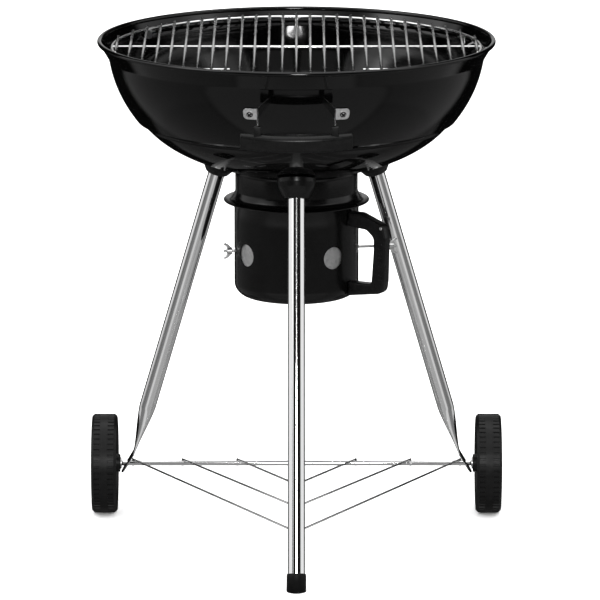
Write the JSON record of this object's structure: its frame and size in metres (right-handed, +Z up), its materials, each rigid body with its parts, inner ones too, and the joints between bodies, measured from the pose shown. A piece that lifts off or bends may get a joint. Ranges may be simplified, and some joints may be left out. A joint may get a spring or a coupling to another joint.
{
  "type": "kettle charcoal grill",
  "caption": "Kettle charcoal grill with an enamelled bowl on three tube legs, a wheeled axle, a wire rack, a chrome grate and a drop-off ash pot with a damper.",
  "frame": {"origin": "on the floor, in the middle of the outline seen from above", "axes": "+Z up, -Y towards the front leg and the bowl handle, +X towards the ash pot's handle"},
  "size_m": [0.62, 0.6426, 0.7535],
  "materials": {
    "black_enamel": "gloss",
    "black_paint": "satin",
    "chrome_tube": "polished",
    "chrome_wire": "polished",
    "steel_wire": "satin",
    "galvanised_sheet": "matte",
    "zinc_fittings": "satin",
    "handle_plastic": "satin",
    "wheel_plastic": "matte",
    "foot_rubber": "matte"
  },
  "bodies": {
    "stand": {"ash_collar": "black_enamel", "axle": "chrome_tube", "axle_cap_left": "zinc_fittings", "axle_cap_right": "zinc_fittings", "axle_washer_left": "zinc_fittings", "axle_washer_right": "zinc_fittings", "bowl": "black_enamel", "bowl_handle_bracket_left": "zinc_fittings", "bowl_handle_bracket_right": "zinc_fittings", "bowl_handle_grip": "handle_plastic", "bowl_handle_nut_left": "zinc_fittings", "bowl_handle_nut_right": "zinc_fittings", "bowl_handle_screw_left": "zinc_fittings", "bowl_handle_screw_right": "zinc_fittings", "foot_cap": "foot_rubber", "grate_support_1": "zinc_fittings", "grate_support_2": "zinc_fittings", "grate_support_3": "zinc_fittings", "leg_front": "chrome_tube", "leg_rear_left": "chrome_tube", "leg_rear_right": "chrome_tube", "leg_socket_front": "black_paint", "leg_socket_rear_left": "black_paint", "leg_socket_rear_right": "black_paint", "rack_spine": "chrome_wire", "rack_wire_inner": "chrome_wire", "rack_wire_middle": "chrome_wire", "rack_wire_outer": "chrome_wire"},
    "cooking_grate": {"cooking_grate": "chrome_wire"},
    "charcoal_grate": {"charcoal_grate": "steel_wire"},
    "ash_pot": {"ash_pot": "black_enamel", "pot_handle": "handle_plastic", "pot_handle_pin": "zinc_fittings", "pot_handle_screw_upper": "zinc_fittings", "pot_handle_screw_lower": "zinc_fittings"},
    "damper": {"damper_ring": "galvanised_sheet", "damper_rod": "zinc_fittings", "rod_nut_left": "zinc_fittings", "rod_nut_right": "zinc_fittings"},
    "wing_nut_right": {"wing_nut_right": "zinc_fittings"},
    "wing_nut_left": {"wing_nut_left": "zinc_fittings"},
    "wheel_right": {"wheel_right": "wheel_plastic"},
    "wheel_left": {"wheel_left": "wheel_plastic"}
  },
  "joints": [
    {"name": "cooking_grate_lift", "type": "slide", "parent": "stand", "child": "cooking_grate", "axis": [0, 0, 1], "range_m": [0, 0.12]},
    {"name": "charcoal_grate_lift", "type": "slide", "parent": "stand", "child": "charcoal_grate", "axis": [0, 0, 1], "range_m": [0, 0.08]},
    {"name": "ash_pot_drop", "type": "slide", "parent": "stand", "child": "ash_pot", "axis": [0, 0, -1], "range_m": [0, 0.15]},
    {"name": "damper_turn", "type": "hinge", "parent": "ash_pot", "child": "damper", "pos_m": [0, 0.0288, 0.438], "axis": [0, 0, -1], "range_deg": [0, 22]},
    {"name": "wing_nut_right_turn", "type": "hinge", "parent": "damper", "child": "wing_nut_right", "pos_m": [0.14065, 0.05108, 0.438], "axis": [0.9877, 0.1564, 0], "range_deg": [0, 360]},
    {"name": "wing_nut_left_turn", "type": "hinge", "parent": "damper", "child": "wing_nut_left", "pos_m": [-0.09916, 0.01309, 0.438], "axis": [-0.9877, -0.1564, 0], "range_deg": [0, 360]},
    {"name": "wheel_right_spin", "type": "hinge", "parent": "stand", "child": "wheel_right", "pos_m": [0.291, 0.1743, 0.075], "axis": [1, 0, 0], "continuous": true},
    {"name": "wheel_left_spin", "type": "hinge", "parent": "stand", "child": "wheel_left", "pos_m": [-0.291, 0.1743, 0.075], "axis": [1, 0, 0], "continuous": true}
  ]
}
